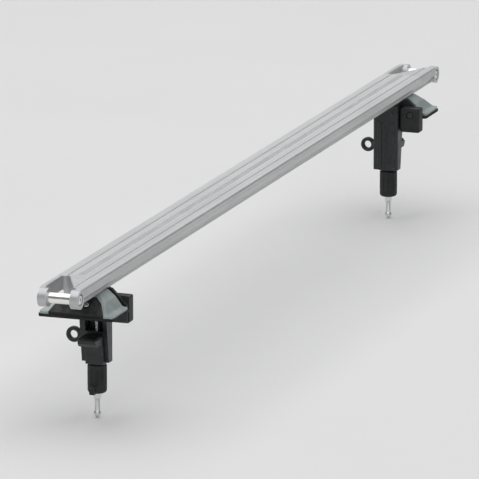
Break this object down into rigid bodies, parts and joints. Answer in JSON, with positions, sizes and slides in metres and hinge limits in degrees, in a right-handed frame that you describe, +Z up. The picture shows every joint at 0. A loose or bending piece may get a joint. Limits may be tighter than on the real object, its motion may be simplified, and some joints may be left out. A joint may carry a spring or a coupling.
{
  "type": "truck bed cargo bar",
  "caption": "Aluminium crossbar that clamps across a pickup bed on a tower at each rail, with cast tie-down ends, slots and screw clamps under the rail lips.",
  "frame": {"origin": "middle of the bar, on the plane of the bed rails' tops, where both base pads rest", "axes": "+X along the bar across the truck, -Y towards the tailgate, +Z up"},
  "size_m": [1.727, 0.119, 0.2305],
  "materials": {
    "bar_aluminium": "satin anodised, fine lengthwise extrusion lines",
    "cast_aluminium": "silver powder coat over a casting",
    "rod_steel": "polished stainless",
    "infill_rubber": "matt",
    "tower_grey": "grey-green satin paint",
    "clamp_black": "black satin powder coat",
    "moulded_black": "fine moulded grain",
    "rubber_black": "matt",
    "zinc_steel": "zinc plated"
  },
  "bodies": {
    "bar": {"bar_extrusion": "bar_aluminium", "top_infill": "infill_rubber", "rod_screws": "zinc_steel", "cap_screws": "zinc_steel", "end_cap_far": "cast_aluminium", "tie_down_rod_far": "rod_steel", "end_cap_near": "cast_aluminium", "tie_down_rod_near": "rod_steel"},
    "tower_far": {"tower_bracket_far": "tower_grey", "tower_core_far": "clamp_black", "end_cover_far": "moulded_black", "cover_screw_far": "zinc_steel", "base_pad_far": "rubber_black", "slot_bolts_far": "zinc_steel", "slot_nuts_far": "zinc_steel", "clamp_plate_far": "clamp_black", "rail_stop_far": "moulded_black", "stop_screw_far": "clamp_black", "clamp_arm_far": "clamp_black", "arm_bolts_far": "clamp_black", "clamp_stud_far": "zinc_steel", "stud_nut_far": "zinc_steel", "tie_down_eye_far": "clamp_black"},
    "jaw_far": {"clamp_jaw_far": "clamp_black", "jaw_pad_far": "rubber_black", "thrust_washer_far": "moulded_black"},
    "grip_far": {"grip_sleeve_far": "moulded_black", "grip_nut_far": "zinc_steel"},
    "tower_near": {"tower_bracket_near": "tower_grey", "tower_core_near": "clamp_black", "end_cover_near": "moulded_black", "cover_screw_near": "zinc_steel", "base_pad_near": "rubber_black", "slot_bolts_near": "zinc_steel", "slot_nuts_near": "zinc_steel", "clamp_plate_near": "clamp_black", "rail_stop_near": "moulded_black", "stop_screw_near": "clamp_black", "clamp_arm_near": "clamp_black", "arm_bolts_near": "clamp_black", "clamp_stud_near": "zinc_steel", "stud_nut_near": "zinc_steel", "tie_down_eye_near": "clamp_black"},
    "jaw_near": {"clamp_jaw_near": "clamp_black", "jaw_pad_near": "rubber_black", "thrust_washer_near": "moulded_black"},
    "grip_near": {"grip_sleeve_near": "moulded_black", "grip_nut_near": "zinc_steel"}
  },
  "joints": [
    {"name": "tower_slide_far", "type": "slide", "parent": "bar", "child": "tower_far", "axis": [-1, 0, 0], "range_m": [-0.004, 0.12]},
    {"name": "jaw_slide_far", "type": "slide", "parent": "tower_far", "child": "jaw_far", "axis": [0, 0, 1], "range_m": [-0.016, 0.0035]},
    {"name": "grip_turn_far", "type": "hinge", "parent": "jaw_far", "child": "grip_far", "pos_m": [0.6935, 0, -0.1], "axis": [0, 0, 1], "range_deg": [-4630, 1020]},
    {"name": "tower_slide_near", "type": "slide", "parent": "bar", "child": "tower_near", "axis": [1, 0, 0], "range_m": [-0.004, 0.12]},
    {"name": "jaw_slide_near", "type": "slide", "parent": "tower_near", "child": "jaw_near", "axis": [0, 0, 1], "range_m": [-0.016, 0.0035]},
    {"name": "grip_turn_near", "type": "hinge", "parent": "jaw_near", "child": "grip_near", "pos_m": [-0.6935, 0, -0.1], "axis": [0, 0, 1], "range_deg": [-4630, 1020]}
  ],
  "couplings": [
    {"joint": "grip_turn_far", "follows": "jaw_slide_far", "rad_per_m": 5026.5},
    {"joint": "grip_turn_near", "follows": "jaw_slide_near", "rad_per_m": 5026.5}
  ]
}
